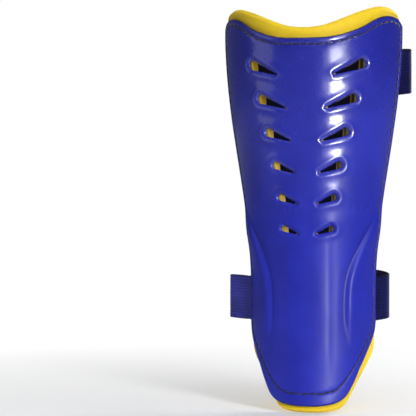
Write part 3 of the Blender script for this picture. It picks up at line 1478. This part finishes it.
def build_floor():
    cells, half, z = 24, 3.0, -0.0006
    row = cells + 1
    verts = [((i / cells - 0.5) * 2 * half, (j / cells - 0.5) * 2 * half, z)
             for j in range(row) for i in range(row)]
    faces = [(j * row + i, j * row + i + 1, (j + 1) * row + i + 1, (j + 1) * row + i)
             for j in range(cells) for i in range(cells)]
    stage_mesh("floor", verts, faces, make_floor_material())


def make_card_material(name, azimuth):
    """Black to the camera within about 15 degrees of the azimuth, clear otherwise."""
    g = new_nodes(name)
    clear = g.node("ShaderNodeBsdfTransparent").outputs[0]
    black = g.source("ShaderNodeEmission", colour=(0.004, 0.004, 0.009))
    incoming = g.node("ShaderNodeNewGeometry").outputs["Incoming"]
    camera_ray = g.node("ShaderNodeLightPath").outputs["Is Camera Ray"]
    facing = g.node("ShaderNodeVectorMath", operation="DOT_PRODUCT")
    g.link(incoming, facing.inputs[0])
    facing.inputs[1].default_value = (sin(radians(azimuth)), -cos(radians(azimuth)), 0.0)
    seen = g.ramp(facing.outputs["Value"], start=cos(radians(18)), end=cos(radians(15)))
    return g.end(g.mix_shader(g.math("MULTIPLY", seen, camera_ray), clear, black))


# Dark cards stand for the table that closes the vents, and show only through them:
# (name, y, azimuth seen from, half width at the bottom, half width at the top)
CARDS = (("behind", 0.0020, 7.0, 0.026, 0.037), ("front", -0.0440, 187.0, 0.020, 0.032))
CARD_LOW, CARD_HIGH = 0.092, 0.200


def build_cards():
    for tag, y, azimuth, low, high in CARDS:
        material = make_card_material("dark_card_" + tag, azimuth)
        verts = [(-low, y, CARD_LOW), (low, y, CARD_LOW), (high, y, CARD_HIGH),
                 (-high, y, CARD_HIGH)]
        card = stage_mesh("vent_card_" + tag, verts, [(0, 1, 2, 3)], material)
        for ray in ("shadow", "diffuse", "glossy", "transmission"):
            setattr(card, "visible_" + ray, False)


# ---------------------------------------------------------------------------
# Lights, world and camera
# ---------------------------------------------------------------------------
def around(azimuth, away, z):
    """Place at an azimuth in degrees from the front (-Y), positive towards +X."""
    return away * sin(radians(azimuth)), -away * cos(radians(azimuth)), z


def aim_at(obj, place, target):
    obj.location = place
    way = Vector(target) - Vector(place)
    obj.rotation_euler = way.to_track_quat("-Z", "Y").to_euler()


def area_light(name, width, height, watts, place, target=(0, 0, 0.12)):
    lamp = bpy.data.lights.new(name, "AREA")
    lamp.shape = "RECTANGLE"
    lamp.size, lamp.size_y, lamp.energy = width, height, watts
    lamp.spread = pi
    obj = bpy.data.objects.new(name, lamp)
    aim_at(obj, place, target)
    bpy.context.scene.collection.objects.link(obj)
    return obj


def light_receivers(light, names, suffix):
    """Makes a collection of these objects the light's receivers."""
    group = bpy.data.collections.new(light.name + suffix)
    for name in names:
        group.objects.link(bpy.data.objects[name])
    light.light_linking.receiver_collection = group
    return group


def keep_off(light, names):
    """The light doesn't reach these objects."""
    for entry in light_receivers(light, names, "_off").collection_objects:
        entry.light_linking.link_state = "EXCLUDE"


def build_lights():
    loop_webbings = ["upper_loop_webbing", "lower_loop_webbing"]
    key = area_light("key_front", width=0.16, height=0.62, watts=3.3,
                     place=around(36, 0.62, 0.30), target=(0.0, 0.0, 0.13))
    keep_off(key, loop_webbings)
    key.visible_glossy = False
    gloss_full = area_light("gloss_full", width=0.16, height=0.50, watts=0.80,
                            place=around(36, 0.62, 0.36), target=(0.0, 0.0, 0.14))
    gloss_full.visible_diffuse = False
    keep_off(gloss_full, loop_webbings)
    # seen only as a reflection, for the bright streak on the upper half of the shell
    gloss_upper = area_light("gloss_upper", width=0.16, height=0.13, watts=2.7,
                             place=around(33.5, 0.62, 0.086), target=(0.0, 0.0, 0.15))
    gloss_upper.visible_diffuse = False
    keep_off(gloss_upper, loop_webbings)
    top = area_light("top", width=1.0, height=1.0, watts=2.8,
                     place=(0.05, -0.15, 1.15), target=(0, 0, 0.1))
    keep_off(top, loop_webbings)
    area_light("fill_left", width=0.5, height=0.7, watts=0.85, place=around(-62, 0.95, 0.35))
    area_light("fill_front", width=0.7, height=0.5, watts=0.6, place=around(2, 1.5, 0.75))
    strap_fill = area_light("strap_fill", width=0.3, height=0.3, watts=2.0,
                            place=around(-30, 0.6, 0.16), target=(-0.04, 0, 0.06))
    light_receivers(strap_fill, ["lower_hook_webbing"], "_on")
    rear_key = area_light("rear_key", width=0.28, height=0.55, watts=6.0,
                          place=around(138, 0.85, 0.36))
    keep_off(rear_key, ["shell_visual"])
    rear_fill = area_light("rear_fill", width=0.5, height=0.5, watts=1.6,
                           place=around(212, 1.0, 0.45))
    keep_off(rear_fill, ["shell_visual"])


def build_world():
    """White to the camera; what the gloss mirrors is dimmer than what lights the cloth."""
    world = bpy.data.worlds.new("studio")
    bpy.context.scene.world = world
    g = Nodes(world, "ShaderNodeOutputWorld")
    rays = g.node("ShaderNodeLightPath").outputs
    white = g.source("ShaderNodeBackground", strength=1.0)
    ambient = g.source("ShaderNodeBackground", strength=0.30, colour=(0.95, 0.97, 1.0))
    mirrored = g.source("ShaderNodeBackground", strength=0.10, colour=(0.90, 0.90, 1.0))
    unseen = g.mix_shader(rays["Is Glossy Ray"], ambient, mirrored)
    g.end(g.mix_shader(rays["Is Camera Ray"], unseen, white))


def build_camera():
    azimuth, away, z = 7.0, 0.900, 0.1126
    left = 0.0600       # the aim lies this far left of the guard's middle
    data = bpy.data.cameras.new("camera")
    data.sensor_width = 36.0
    data.lens = 136.4
    data.clip_start = 0.01
    camera = bpy.data.objects.new("camera", data)
    bpy.context.scene.collection.objects.link(camera)
    place = Vector(around(azimuth, away, z))
    target = Vector((-left * cos(radians(azimuth)), -left * sin(radians(azimuth)), z))
    aim_at(camera, place, target)
    bpy.context.scene.camera = camera


build_floor()
build_cards()
build_lights()
build_world()
build_camera()
view = bpy.context.scene.view_settings
view.view_transform = "Standard"
view.look = "None"
view.exposure = 0.0
